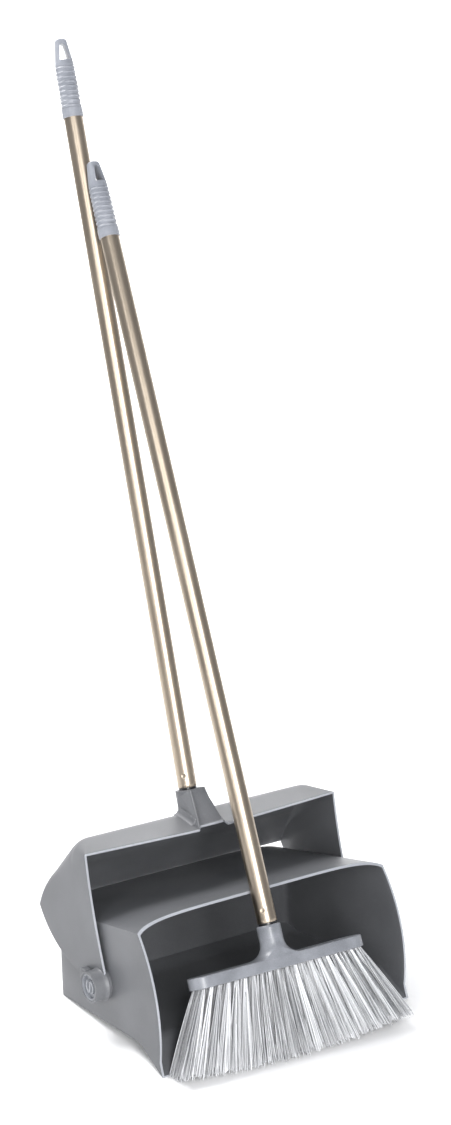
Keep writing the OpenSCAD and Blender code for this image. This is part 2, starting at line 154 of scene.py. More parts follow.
def makeFibre(look):
    # Clear-grey filaments; each strand has its own tone, and ends are split and paler
    finish = Finish("bristleFibre")
    tone = finish.node("ShaderNodeAttribute", {"attribute_name": "strandTone"}, output=2)
    along = finish.node("ShaderNodeAttribute", {"attribute_name": "strandAlong"}, output=2)
    streak = finish.noise(700, 2, (1, 1, 0.08))
    mixed = finish.blend(finish.window(tone * 0.8 + streak * 0.2, 0.1, 0.9), look["dark"], look["light"])
    tipped = finish.blend(finish.window(along, 0.8, 1.0) * 0.25, mixed, (0.75, 0.76, 0.78, 1))
    finish.set(Base_Color=tipped, Roughness=look["rough"] + streak * 0.12, Normal=finish.bump(streak, 0.00004))
    finish.set(Specular_IOR_Level=0.6)
    return finish.material


def makeGloss(name, colour, rough):
    finish = Finish(name)
    grain = finish.noise(500, 3)
    finish.set(Base_Color=finish.blend(grain, colour, tuple(c * 1.6 for c in colour[:3]) + (1,)),
               Roughness=rough + grain * 0.1, Normal=finish.bump(grain, 0.00003))
    return finish.material


panPlastic = makeMoulded("panPlastic", mouldedLook)
# Lighter, glossier copy of the pan plastic for the rim faces: a painted highlight along the rims
rimHighlightPlastic = makeMoulded("rimHighlightPlastic", {"dark": (0.30, 0.313, 0.34, 1), "light": (0.37, 0.384, 0.412, 1),
                                        "grain": 900, "rough": 0.33})
gripPlastic = makeMoulded("gripPlastic", {"dark": (0.20, 0.212, 0.24, 1), "light": (0.28, 0.292, 0.325, 1),
                                          "grain": 1400, "rough": 0.3, "depth": 0.0001, "wear": 0.1,
                                          "scuffed": (0.5, 0.51, 0.54, 1), "cloud": 40})
headPlastic = makeMoulded("headPlastic", {"dark": (0.135, 0.142, 0.158, 1), "light": (0.23, 0.24, 0.262, 1),
                                          "grain": 1300, "rough": 0.3, "depth": 0.0001, "wear": 0.12,
                                          "scuffed": (0.5, 0.51, 0.54, 1), "cloud": 30})
tubeMetal = makeTubeMetal(tubeLook)
plugPlastic = makeGloss("plugPlastic", (0.012, 0.012, 0.013, 1), 0.22)
bristleFibre = makeFibre(fibreLook)
anchorWire = makeGloss("anchorWire", (0.5, 0.48, 0.42, 1), 0.35)
print("finishes made")


def addPiece(name, verts, faces, material, body, smooth=40, rims=()):
    mesh = bpy.data.meshes.new(name)
    mesh.from_pydata([tuple(v) for v in verts], [], faces)
    for index in rims:
        mesh.polygons[index].material_index = 1
    piece = bpy.data.objects.new(name, mesh)
    bpy.context.scene.collection.objects.link(piece)
    mesh.materials.append(material)
    tidyMesh(piece, smooth)
    if body:
        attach(piece, body)
    return piece


def tidyMesh(piece, smooth):
    made = bmesh.new()
    made.from_mesh(piece.data)
    bmesh.ops.remove_doubles(made, verts=made.verts, dist=1e-6)
    bmesh.ops.recalc_face_normals(made, faces=made.faces)
    made.to_mesh(piece.data)
    made.free()
    piece.data.shade_smooth()
    if smooth:
        piece.data.set_sharp_from_angle(angle=math.radians(smooth))


def bake(piece):
    # Turns a piece with modifiers into a plain mesh in place
    view = bpy.context.evaluated_depsgraph_get()
    plain = bpy.data.meshes.new_from_object(piece.evaluated_get(view), depsgraph=view)
    piece.modifiers.clear()
    piece.data = plain
    return piece


def gridFaces(rows, columns, closed=False, start=0):
    faces = []
    for r in range(rows - 1):
        for c in range(columns if closed else columns - 1):
            n = (c + 1) % columns
            faces.append((start + r * columns + c, start + r * columns + n,
                          start + (r + 1) * columns + n, start + (r + 1) * columns + c))
    return faces


def bend(p0, p1, p2, t):
    return p0 * (1 - t) ** 2 + p1 * (2 * t * (1 - t)) + p2 * t * t


def axisOf(name):
    # Foot, head and direction of a round node's axis, foot lowest
    spots = np.array([v.co[:] for v in nodes[name].data.vertices])
    middle = spots.mean(axis=0)
    along = np.linalg.svd(spots - middle, full_matrices=False)[2][0]
    along = along * (1 if along[2] > 0 else -1)
    reach = (spots - middle) @ along
    ends = [spots[np.abs(reach - edge) < 2 * mm].mean(axis=0) for edge in (reach.min(), reach.max())]
    along = (ends[1] - ends[0]) / np.linalg.norm(ends[1] - ends[0])
    return Vector(ends[0]), Vector(ends[1]), Vector(along)


def solidBox(low, high, verts, faces):
    start = len(verts)
    verts += [(x, y, z) for z in (low[2], high[2]) for y in (low[1], high[1]) for x in (low[0], high[0])]
    faces += [tuple(start + i for i in f) for f in
              ((0, 2, 3, 1), (4, 5, 7, 6), (0, 1, 5, 4), (2, 6, 7, 3), (0, 4, 6, 2), (1, 3, 7, 5))]


def standOn(foot, along, side=(1, 0, 0)):
    # Matrix with Z along the axis and X as near to side as it can be
    z = Vector(along).normalized()
    x = (Vector(side) - z * z.dot(Vector(side))).normalized()
    y = z.cross(x)
    turned = Matrix((x, y, z)).transposed().to_4x4()
    return Matrix.Translation(foot) @ turned


def lathe(profile, around=64):
    # Spins (radius, height) pairs; a closed profile makes a ring
    verts = [(r * math.cos(a), r * math.sin(a), z) for r, z in profile
             for a in [2 * math.pi * k / around for k in range(around)]]
    return verts, gridFaces(len(profile), around, True)


def roundedSkin(piece, voxel, passes, strength=0.5):
    # Melts joined solids into one skin and softens its edges as moulding does
    remesh = piece.modifiers.new("melt", "REMESH")
    remesh.mode = "VOXEL"
    remesh.voxel_size = voxel
    remesh.use_smooth_shade = True
    soften = piece.modifiers.new("soften", "SMOOTH")
    soften.factor = strength
    soften.iterations = passes
    return bake(piece)


def copyNode(name, pieceName, material, body):
    mesh = nodes[name].data.copy()
    mesh.materials.clear()
    mesh.materials.append(material)
    piece = bpy.data.objects.new(pieceName, mesh)
    bpy.context.scene.collection.objects.link(piece)
    made = bmesh.new()
    made.from_mesh(mesh)
    bmesh.ops.remove_doubles(made, verts=made.verts, dist=1e-6)
    made.to_mesh(mesh)
    made.free()
    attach(piece, body)
    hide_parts(name)
    return piece


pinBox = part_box("pivot_pin_left")
pivot = Vector((0, (pinBox[0][1] + pinBox[1][1]) / 2, (pinBox[0][2] + pinBox[1][2]) / 2))
panShape = {
    "halfWidth": 0.165, "drawIn": 0.006, "depth": 0.2525, "mouthTop": 0.1545, "backTop": 0.105,
    "mouthRadius": 0.170, "footHeight": 0.030, "footY": 0.0035, "wall": 0.0025, "crownDrop": 0.016,
    "sillY": 0.047, "sillHeight": 0.0195, "heelY": 0.230, "kneeHeight": 0.063, "floorFold": 0.204,
    "backRound": 0.011, "crownOver": 0.0015, "crownPower": 6, "rimEdge": 0.0007,
}


def buildPan(shape):
    s = shape
    radius = s["mouthRadius"]

    def mouthY(z):
        return s["footY"] + radius - math.sqrt(max(radius ** 2 - (z - s["footHeight"]) ** 2, 0))

    mouthTopY = mouthY(s["mouthTop"])
    slope = (s["mouthTop"] - s["backTop"]) / (s["depth"] - mouthTopY)

    def topZ(x, y, inset):
        reach = min(abs(x) / (s["halfWidth"] + s["crownOver"] - inset), 1)
        drop = s["crownDrop"] * (1 - math.sqrt(max(1 - reach ** s["crownPower"], 0)))
        return s["mouthTop"] - slope * (y - mouthTopY) - drop - inset * 1.03

    def floorZ(y, inset):
        points = [(-0.002, 0.0), (s["sillY"], s["sillHeight"]), (0.222, 0.0), (0.26, 0.0)]
        if inset:
            points = [(-0.002, 0.0012), (s["sillY"], s["sillHeight"] + inset), (s["floorFold"], inset + 0.001),
                      (s["heelY"] - inset, inset + 0.005), (0.26, inset + 0.012)]
        return float(np.interp(y, [p[0] for p in points], [p[1] for p in points]))

    def softFloor(y, inset):
        spread = [0] if y < 0.006 else [-0.003, -0.0015, 0, 0.0015, 0.003]
        return sum(floorZ(y + d, inset) for d in spread) / len(spread)

    def backY(z, inset):
        reach = np.interp(z, [0, s["kneeHeight"], s["backTop"]], [s["heelY"], s["heelY"] + 0.003, s["depth"]])
        return float(reach) - inset

    def section(count):
        # Round the mouth: across the floor, up a side, over the top and down again, as (x, height) shares
        floor = [(x, 0.0) for x in np.linspace(-1, 1, count)]
        side = [(1.0, z) for z in np.linspace(0, 1, 26)[1:-1]]
        top = [(x, 1.0) for x in np.sign(np.cos(np.linspace(0, math.pi, 61))) *
               np.abs(np.cos(np.linspace(0, math.pi, 61))) ** 0.45]
        back = [(-1.0, z) for z in np.linspace(1, 0, 26)[1:-1]]
        return floor + side + top + back

    loop = section(25)
    steps = list(np.linspace(0, 0.93, 30))

    def place(xShare, zShare, u, inset, pull=0.0, forward=0.0):
        y = 0.1  # a first guess, which the steps below settle
        for _ in range(7):
            half = s["halfWidth"] - s["drawIn"] * max(y, 0) / s["depth"] - inset - pull
            x = xShare * half
            low = softFloor(y, inset)
            high = topZ(x, y, inset)
            z = low + zShare * (high - low)
            front = mouthY(z) if z > 0.014 else -0.002 + (mouthY(0.014) + 0.002) * max(z, 0) / 0.014
            y = front + u * (backY(z, inset) - front) - forward
        return x, y, z

    verts = []
    rings = 0
    for inset in (0.0, s["wall"]):
        ring = []
        for u in steps:
            ring.append([place(x, z, u, inset) for x, z in loop])
        turn = s["backRound"] - inset
        for k in range(1, 9):
            a = math.radians(90 * k / 8)
            ring.append([place(x, z, 1.0, inset, turn * (1 - math.sin(math.pi / 2 - a)) * 0.999,
                               turn * (1 - math.sin(a))) for x, z in loop])
        rings = len(ring)
        verts += [v for r in ring for v in r]
    n = len(loop)
    faces = gridFaces(rings, n, True)
    second = rings * n
    faces += gridFaces(rings, n, True, second)
    rimStart = len(faces)
    faces += [(c, (c + 1) % n, second + (c + 1) % n, second + c) for c in range(n)]
    lastRing = (rings - 1) * n
    faces += [tuple(range(lastRing, lastRing + n)), tuple(range(second + lastRing, second + lastRing + n))]
    # The rim faces between outer and inner skin take the lighter copy: a painted highlight along the mouth rim
    pan = addPiece("panShell", verts, faces, panPlastic, None, 0, range(rimStart, rimStart + n))
    pan.data.materials.append(rimHighlightPlastic)
    edge = pan.modifiers.new("rim", "BEVEL")
    edge.limit_method = "ANGLE"
    edge.angle_limit = math.radians(48)
    edge.width = s["rimEdge"]
    edge.segments = 3
    bake(pan)
    pan.data.shade_smooth()
    pan.data.set_sharp_from_angle(angle=math.radians(35))
    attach(pan, "pan")
    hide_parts("pan")
    return pan


panShell = buildPan(panShape)
print("pan made", len(panShell.data.polygons))


bossShape = {"radius": 0.017, "bore": 0.0075, "inner": 0.1612, "outer": 0.1662, "round": 0.0005}


def buildBosses(shape):
    for side, name in ((-1, "panBossLeft"), (1, "panBossRight")):
        verts, faces = lathe([(shape["bore"], shape["inner"]), (shape["radius"], shape["inner"]),
                              (shape["radius"], shape["outer"] - shape["round"]),
                              (shape["radius"] - shape["round"], shape["outer"]),
                              (shape["bore"], shape["outer"]), (shape["bore"], shape["inner"])], 48)
        verts = [(side * z, pivot.y + x, pivot.z + y) for x, y, z in verts]
        boss = addPiece(name, verts, faces, panPlastic, "pan", 40)


buildBosses(bossShape)

hoodShape = {
    "half": 0.169, "wall": 0.0025, "ridge": (0.191, 0.2025), "rim": (0.1505, 0.2008), "rimBow": 0.012,
    "backRadius": 0.14162, "lowAngle": 18.7, "highAngle": 43.6, "lobe": 0.017,
    "cornerRidge": 0.027, "cornerRim": 0.0015, "cornerLow": 0.0015, "notch": (-0.0255, 0.012), "notchDeep": 0.010,
    "ridgeRound": 0.007, "lobeLow": -20, "lobeHigh": 135, "lowBend": (0.100, -0.004), "rimBend": (-0.0115, -0.061),
    "rimEdge": 0.0007,
}


def buildHood(shape):
    s = shape
    centre = np.array([pivot.y, pivot.z])

    def around(radius, degrees):
        return centre + radius * np.array([math.cos(math.radians(degrees)), math.sin(math.radians(degrees))])

    ridge = np.array(s["ridge"])
    rim = np.array(s["rim"])
    arc = [around(s["backRadius"], a) for a in np.linspace(s["lowAngle"], s["highAngle"], 15)]
    slopeRun = [arc[-1] + (ridge - arc[-1]) * t for t in np.linspace(0, 1, 15)[1:]]
    strip = [ridge + (rim - ridge) * t for t in np.linspace(0, 1, 15)[1:]]
    profile = arc + slopeRun + strip
    stripStart = len(arc) + len(slopeRun) - 1
    turnR = s["ridgeRound"]  # softens the ridge where the back meets the strip
    soft = []
    for k, p in enumerate(profile):
        near = np.linalg.norm(p - ridge)
        if near < turnR:
            dirIn = (arc[-1] - ridge) / np.linalg.norm(arc[-1] - ridge)
            dirOut = (rim - ridge) / np.linalg.norm(rim - ridge)
            t = 0.5 + 0.5 * near / turnR * (1 if k > stripStart else -1)
            p = bend(ridge + dirIn * turnR, ridge, ridge + dirOut * turnR, t)
        soft.append(p)
    profile = soft
    count = len(profile)
    hubLow = around(s["lobe"], s["lobeLow"])
    lobeTurn = np.linspace(s["lobeLow"], s["lobeHigh"], count)
    lowBend = np.array([pivot.y + s["lowBend"][0], pivot.z + s["lowBend"][1]])
    rimBend = rim + np.array(s["rimBend"])
    plateSteps = 22
    cornerSteps = 8
    acrossSteps = 48
    rows = []
    for k, edge in enumerate(profile):
        v = k / (count - 1)
        hub = around(s["lobe"], lobeTurn[k])
        middle = (hub + edge) / 2
        lowPull = lowBend - (hubLow + profile[0]) / 2
        rimPull = rimBend - (around(s["lobe"], s["lobeHigh"]) + rim) / 2
        control = middle + lowPull * (1 - v) ** 3 + rimPull * v ** 3
        if k <= stripStart:
            corner = s["cornerLow"] + (s["cornerRidge"] - s["cornerLow"]) * (k / stripStart) ** 1.5
        else:
            run = (k - stripStart) / (count - 1 - stripStart)
            corner = s["cornerRidge"] + (s["cornerRim"] - s["cornerRidge"]) * run
        tangent = (edge - control) / np.linalg.norm(edge - control)
        plateEnd = edge - tangent * corner
        row = []
        for t in np.linspace(0, 1, plateSteps):
            spot = bend(hub, control, edge, t) + (plateEnd - edge) * t ** 2
            row.append((-s["half"], *spot))
        for a in np.linspace(0, 90, cornerSteps + 2)[1:-1]:
            ca, sa = math.cos(math.radians(a)), math.sin(math.radians(a))
            spot = plateEnd + tangent * corner * sa
            row.append((-s["half"] + corner * (1 - ca), *spot))
        bow = 0 if k <= stripStart else s["rimBow"] * (k - stripStart) / (count - 1 - stripStart)
        flat = s["half"] - corner
        middleRow = []
        for x in np.linspace(-flat, flat, acrossSteps):
            middleRow.append((x, edge[0] - bow * (1 - abs(x) / s["half"]), edge[1]))
        mirrored = [(-x, y, z) for x, y, z in reversed(row)]
        rows.append(row + middleRow + mirrored)
    columns = len(rows[0])
    verts = [p for row in rows for p in row]
    faces = gridFaces(len(rows), columns)
    hood = addPiece("hoodShell", verts, faces, panPlastic, None, 0)
    thick = hood.modifiers.new("wall", "SOLIDIFY")
    thick.thickness = s["wall"]
    thick.offset = -1
    thick.use_even_offset = True
    # The solidified wall's rim faces take the lighter copy: a painted highlight along the hood rims
    hood.data.materials.append(rimHighlightPlastic)
    thick.material_offset_rim = 1
    cutVerts, cutFaces = [], []
    solidBox((s["notch"][0], s["rim"][0] - s["rimBow"] - 0.01, 0.185),
             (s["notch"][1], s["rim"][0] - s["rimBow"] + s["notchDeep"], 0.215), cutVerts, cutFaces)
    cutter = addPiece("notchCutter", cutVerts, cutFaces, rimHighlightPlastic, None, 0)
    cut = hood.modifiers.new("notch", "BOOLEAN")
    cut.object = cutter
    cut.solver = "EXACT"
    bake(hood)
    bpy.data.objects.remove(cutter)
    edge = hood.modifiers.new("rim", "BEVEL")
    edge.limit_method = "ANGLE"
    edge.angle_limit = math.radians(50)
    edge.width = s["rimEdge"]
    edge.segments = 3
    bake(hood)
    hood.data.shade_smooth()
    hood.data.set_sharp_from_angle(angle=math.radians(35))
    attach(hood, "hood")
    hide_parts("hood")
    return hood


hoodShell = buildHood(hoodShape)
print("hood made", len(hoodShell.data.polygons))

ringShape = {"outer": 0.0175, "bore": 0.01506, "start": 0.1670, "end": 0.1835, "round": 0.0008}


def buildRings(shape):
    s = shape
    for side, name in ((-1, "ringLeft"), (1, "ringRight")):
        r = s["round"]
        profile = [(s["bore"], s["start"]), (s["outer"] + 0.002, s["start"]),
                   (s["outer"] + 0.0006, s["start"] + 0.0026), (s["outer"], s["start"] + 0.005),
                   (s["outer"], s["end"] - r)]
        profile += [(s["outer"] - r + r * math.cos(a), s["end"] - r + r * math.sin(a))
                    for a in np.linspace(0, math.pi / 2, 5)[1:]]
        profile += [(s["bore"] + r - r * math.sin(a), s["end"] - r + r * math.cos(a))
                    for a in np.linspace(0, math.pi / 2, 5)]
        profile += [(s["bore"], s["start"])]
        verts, faces = lathe(profile, 96)
        verts = [(side * z, pivot.y + x, pivot.z + y) for x, y, z in verts]
        ring = addPiece(name, verts, faces, panPlastic, "hood", 40)


buildRings(ringShape)


lugShape = {"y": (0.1385, 0.1505), "z": (0.0560, 0.0690), "x": (0.168, 0.1780), "edge": 0.0022}


def buildLugs(shape):
    s = shape
    for side, name in ((-1, "stopLugLeft"), (1, "stopLugRight")):
        verts, faces = [], []
        xs = sorted((side * s["x"][0], side * s["x"][1]))
        solidBox((xs[0], s["y"][0], s["z"][0]), (xs[1], s["y"][1], s["z"][1]), verts, faces)
        lug = addPiece(name, verts, faces, panPlastic, "hood", 0)
        edge = lug.modifiers.new("edge", "BEVEL")
        edge.width = s["edge"]
        edge.segments = 4
        bake(lug)
        lug.data.shade_smooth()


buildLugs(lugShape)

panTubeFoot, _, panAlong = axisOf("pan_handle_tube")
socketShape = {
    "radius": 0.0150, "above": -0.0024, "depth": 0.036, "web": 0.0025, "bead": 0.0013, "panelY": 0.1492,
    "panelThick": 0.0022, "voxel": 0.0005, "fillet": 0.009, "mouthSide": 0.0125, "leftBulge": 0.0012,
    "rightBulge": -0.0055, "leftTop": (-0.0070, 0.1915), "leftFoot": (-0.0262, 0.1412),
    "leftBack": (-0.0215, 0.1930), "rightTop": (0.0140, 0.1915), "rightFoot": (0.0132, 0.1460),
    "rightBack": (0.0165, 0.1900),
}


def rod(path, radius, verts, faces, sides=10):
    # A round bead along a path of points
    start = len(verts)
    for k, spot in enumerate(path):
        ahead = (Vector(path[min(k + 1, len(path) - 1)]) - Vector(path[max(k - 1, 0)])).normalized()
        frameNow = standOn(Vector(spot), ahead, (0.3, 0.2, 0.9))
        turns = [2 * math.pi * n / sides for n in range(sides)]
        verts.extend(frameNow @ Vector((radius * math.cos(a), radius * math.sin(a), 0)) for a in turns)
    faces += gridFaces(len(path), sides, True, start)
    faces += [tuple(reversed(range(start, start + sides))),
              tuple(range(start + (len(path) - 1) * sides, start + len(path) * sides))]


def buildSocket(shape):
    s = shape
    stand = standOn(panTubeFoot, panAlong)
    top = s["above"]
    verts, faces = [], []
    ring = 64
    for z in (-s["depth"], top):
        verts += [stand @ Vector((s["radius"] * math.cos(2 * math.pi * k / ring),
                                  s["radius"] * math.sin(2 * math.pi * k / ring), z)) for k in range(ring)]
    faces += gridFaces(2, ring, True) + [tuple(reversed(range(ring))), tuple(range(ring, 2 * ring))]
    rimZ = hoodShape["rim"][1] - 0.0006

    def onMouth(x, y):
        z = panTubeFoot.z + (panTubeFoot.y - y) * panAlong.y / panAlong.z + top / panAlong.z
        return Vector((x, y, z))

    for side, name in ((-1, "left"), (1, "right")):
        high, foot, back = s[name + "Top"], s[name + "Foot"], s[name + "Back"]
        curve = []
        bulge = s[name + "Bulge"]
        for t in np.linspace(0, 1, 13):
            spot = onMouth(*high).lerp(Vector((foot[0], foot[1], rimZ)), t)
            spot.z += bulge * math.sin(math.pi * t)
            curve.append(spot)
        edge = curve + [Vector((back[0], back[1], rimZ + 0.0008)),
                        onMouth(side * s["mouthSide"], panTubeFoot.y + 0.002)]
        inward = Vector((-side * s["web"], 0, 0))
        start, count = len(verts), len(edge)
        verts += edge + [spot + inward for spot in edge]
        faces += gridFaces(2, count, True, start)
        faces += [tuple(range(start, start + count)), tuple(reversed(range(start + count, start + 2 * count)))]
        rod([spot + inward / 2 for spot in curve], s["bead"] if side < 0 else s["bead"] * 0.8, verts, faces)
        # Hollow fillet from the web's side down to the strip
        reach = s["fillet"] if side < 0 else s["fillet"] * 0.5
        rows = []
        for y, x in ((foot[1] + 0.012, foot[0] + (high[0] - foot[0]) * 0.1), (back[1] - 0.001, back[0])):
            low = rimZ + (y - foot[1]) * 0.035
            row = [(x - side * 0.003, y, low - 0.0008)]
            for t in np.linspace(0, 1, 7):
                rise = reach * (1 - math.sqrt(max(1 - t * t, 0)))
                row.append((x + side * reach * (1 - t) - side * 0.0008, y, low - 0.0004 + rise))
            rows.append(row)
        start, count = len(verts), len(rows[0])
        verts += [Vector(p) for row in rows for p in row]
        faces += gridFaces(2, count, True, start)
        faces += [tuple(range(start, start + count)), tuple(reversed(range(start + count, start + 2 * count)))]
    panel = [Vector((s["leftFoot"][0] + 0.001, s["panelY"], rimZ)),
             Vector((s["rightFoot"][0] - 0.001, s["panelY"], rimZ)),
             onMouth(s["rightTop"][0] - 0.001, s["rightTop"][1] + 0.0015),
             onMouth(s["leftTop"][0] + 0.001, s["leftTop"][1] + 0.0015)]
    start = len(verts)
    verts += panel + [spot + Vector((0, s["panelThick"], -s["panelThick"])) for spot in panel]
    faces += gridFaces(2, 4, True, start)
    faces += [tuple(range(start, start + 4)), tuple(reversed(range(start + 4, start + 8)))]
    socket = addPiece("handleSocket", verts, faces, panPlastic, None, 0)
    roundedSkin(socket, s["voxel"], 3)
    socket.data.shade_smooth()
    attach(socket, "hood")
    return socket


buildSocket(socketShape)

tubeShape = {"radius": 0.011, "wall": 0.0012, "crimpUp": 0.014, "crimpWidth": 0.0022, "crimpDeep": 0.0008}


def buildTube(name, node, body, shape):
    s = shape
    foot, head, along = axisOf(node)
    length = (head - foot).length
    stand = standOn(foot, along)
    r = s["radius"]
    crimpZone = [s["crimpUp"] + d * mm for d in np.linspace(-4, 4, 17)]
    heights = [0.0004] + [0.004, 0.008] + crimpZone + list(np.linspace(0.03, length - 0.001, 30))
    profile = [(r - s["wall"], 0.006), (r - s["wall"], 0.0002), (r - 0.0004, 0.0)] + [(r, z) for z in heights]
    profile += [(r - 0.0004, length), (r - s["wall"], length)]
    around = 96
    verts, faces = lathe(profile, around)
    moved = []
    for x, y, z in verts:
        angle = math.atan2(y, x)
        nearest = min(abs((angle - math.radians(a) + math.pi) % (2 * math.pi) - math.pi)
                      for a in (45, 135, 225, 315))
        away = math.hypot(nearest * r, z - s["crimpUp"])
        outside = math.hypot(x, y) > r - 0.0001
        dent = s["crimpDeep"] * math.exp(-(away / s["crimpWidth"]) ** 4) if outside else 0
        scale = 1 - dent / r
        moved.append(stand @ Vector((x * scale, y * scale, z)))
    tube = addPiece(name, moved, faces, tubeMetal, body, 50)
    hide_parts(node)
    return tube


buildTube("panTube", "pan_handle_tube", "hood", tubeShape)
buildTube("broomTube", "broom_handle_tube", "broom", tubeShape)
print("tubes made")

gripShape = {"radius": 0.0122, "length": 0.0915, "bore": 0.01105, "sleeve": 0.057, "rings": 9, "firstRing": 0.013,
             "ringPitch": 0.0055, "ringRise": 0.0013, "taperStart": 0.060, "loopHalf": 0.007, "loopThick": 0.0055,
             "slotLow": 0.066, "slotHigh": 0.0825, "slotLowHalf": 0.006, "slotHighHalf": 0.003,
             "topRound": 0.0035, "edge": 0.0006}


def buildGrip(name, node, body, shape, turn):
    s = shape
    foot, head, along = axisOf(node.replace("grip", "tube"))
    start = (head - foot).length - s["sleeve"] + 0.001
    stand = standOn(foot + along * start, along) @ Matrix.Rotation(math.radians(turn), 4, "Z")
    around = 64
    heights = list(np.linspace(0.0004, s["firstRing"] - 0.0025, 5))
    lastRing = s["firstRing"] + s["ringPitch"] * (s["rings"] - 1)
    top = s["length"] - s["topRound"]
    heights += list(np.linspace(s["firstRing"] - 0.002, lastRing + 0.003, 110))
    heights += list(np.linspace(s["taperStart"] - 0.004, top, 20))
    rows = []
    for z in sorted(heights):
        radius = s["radius"]
        if z > s["firstRing"] - 0.0022:
            wave = (z - s["firstRing"]) / s["ringPitch"]
            fade = 1 if wave < s["rings"] - 0.5 else 0.0
            ring = max(math.cos(2 * math.pi * wave), 0) ** 0.8 * fade
            radius = s["radius"] - 0.0006 + s["ringRise"] * (ring - 0.5) * 0.75 * fade - 0.00005 * max(wave, 0)
        t = min(max((z - s["taperStart"]) / (top - s["taperStart"]), 0), 1)
        half = radius + (s["loopHalf"] - radius) * t
        thick = radius + (s["loopThick"] - radius) * t
        power = 2 / (2 + 1.6 * t)
        rows.append([(half * np.sign(math.cos(a)) * abs(math.cos(a)) ** power,
                      thick * np.sign(math.sin(a)) * abs(math.sin(a)) ** power, z)
                     for a in [2 * math.pi * k / around for k in range(around)]])
    last = rows[-1]
    for k in range(1, 7):
        a = math.pi / 2 * k / 6
        shrink = max(math.cos(a), 0.02)
        rows.append([(x * (0.35 + 0.65 * shrink), y * (0.5 + 0.5 * shrink), top + s["topRound"] * math.sin(a))
                     for x, y, z in last])
    low = rows[0]
    rows.insert(0, [(x * 0.965, y * 0.965, 0.0) for x, y, z in low])
    for radius, z in ((s["bore"], 0.0), (s["bore"], s["sleeve"])):
        turns = [2 * math.pi * k / around for k in range(around)]
        rows.insert(0, [(radius * math.cos(a), radius * math.sin(a), z) for a in turns])
    verts = [stand @ Vector(p) for row in rows for p in row]
    faces = gridFaces(len(rows), around, True)
    faces += [tuple(reversed(range(around))), tuple(range((len(rows) - 1) * around, len(rows) * around))]
    grip = addPiece(name, verts, faces, gripPlastic, None, 0)
    outline = [(-s["slotLowHalf"], s["slotLow"]), (s["slotLowHalf"], s["slotLow"]),
               (s["slotHighHalf"], s["slotHigh"])]
    outline += [(s["slotHighHalf"] * math.cos(a), s["slotHigh"] + s["slotHighHalf"] * math.sin(a))
                for a in np.linspace(0, math.pi, 13)[1:]]
    count = len(outline)
    cutVerts = [stand @ Vector((x, y, z)) for y in (-0.03, 0.03) for x, z in outline]
    cutFaces = gridFaces(2, count, True) + [tuple(range(count)), tuple(reversed(range(count, 2 * count)))]
    cutter = addPiece("slotCutter", cutVerts, cutFaces, gripPlastic, None, 0)
    cut = grip.modifiers.new("slot", "BOOLEAN")
    cut.object = cutter
    cut.solver = "EXACT"
    bake(grip)
    bpy.data.objects.remove(cutter)
    edge = grip.modifiers.new("edge", "BEVEL")
    edge.limit_method = "ANGLE"
    edge.angle_limit = math.radians(55)
    edge.width = s["edge"]
    edge.segments = 3
    bake(grip)
    grip.data.shade_smooth()
    grip.data.set_sharp_from_angle(angle=math.radians(42))
    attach(grip, body)
    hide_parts(node)
    return grip


buildGrip("panGrip", "pan_handle_grip", "hood", gripShape, -18)
buildGrip("broomGrip", "broom_handle_grip", "broom", gripShape, 0)

headShape = {"voxel": 0.0008, "passes": 5}


def buildHead(shape):
    head = copyNode("broom_head", "broomHead", headPlastic, "broom")
    roundedSkin(head, shape["voxel"], shape["passes"])
    head.data.shade_smooth()
    return head


broomHead = buildHead(headShape)
print("head made", len(broomHead.data.polygons))

for name, material in (("pan_handle_plug", plugPlastic), ("broom_handle_plug", plugPlastic),
                       ("pivot_pin_left", headPlastic), ("pivot_pin_right", headPlastic),
                       ("tuft_anchors", anchorWire)):
    nodes[name].data.materials.clear()
    nodes[name].data.materials.append(material)

bristleShape = {"strands": 84, "rootRadius": 0.0021, "spreadAcross": 0.0074, "spreadDeep": 0.0062, "ragged": 0.011,
                "thick": 0.00046, "sides": 4, "bow": 0.0035, "plantDepth": 0.008, "floorGap": 0.0006, "seed": 11}


def tuftsOf(node):
    # Root and tip of each tuft in a row, from the row's separate solids
    made = bmesh.new()
    made.from_mesh(nodes[node].data)
    bmesh.ops.remove_doubles(made, verts=made.verts, dist=1e-6)
    made.verts.ensure_lookup_table()
    seen = set()
    tufts = []
    for v in made.verts:
        if v.index in seen:
            continue
        island, stack = [], [v]
        seen.add(v.index)
        while stack:
            w = stack.pop()
            island.append(w.co.copy())
            for e in w.link_edges:
                o = e.other_vert(w)
                if o.index not in seen:
                    seen.add(o.index)
                    stack.append(o)
        spots = np.array([p[:] for p in island])
        high = spots[:, 2].max()
        low = spots[:, 2].min()
        root = spots[spots[:, 2] > high - 0.0025].mean(axis=0)
        tip = spots[spots[:, 2] < low + 0.0005]
        tufts.append((Vector(root), Vector((tip.min(axis=0) + tip.max(axis=0)) / 2)))
    made.free()
    tufts.sort(key=lambda t: t[0].x)
    return tufts


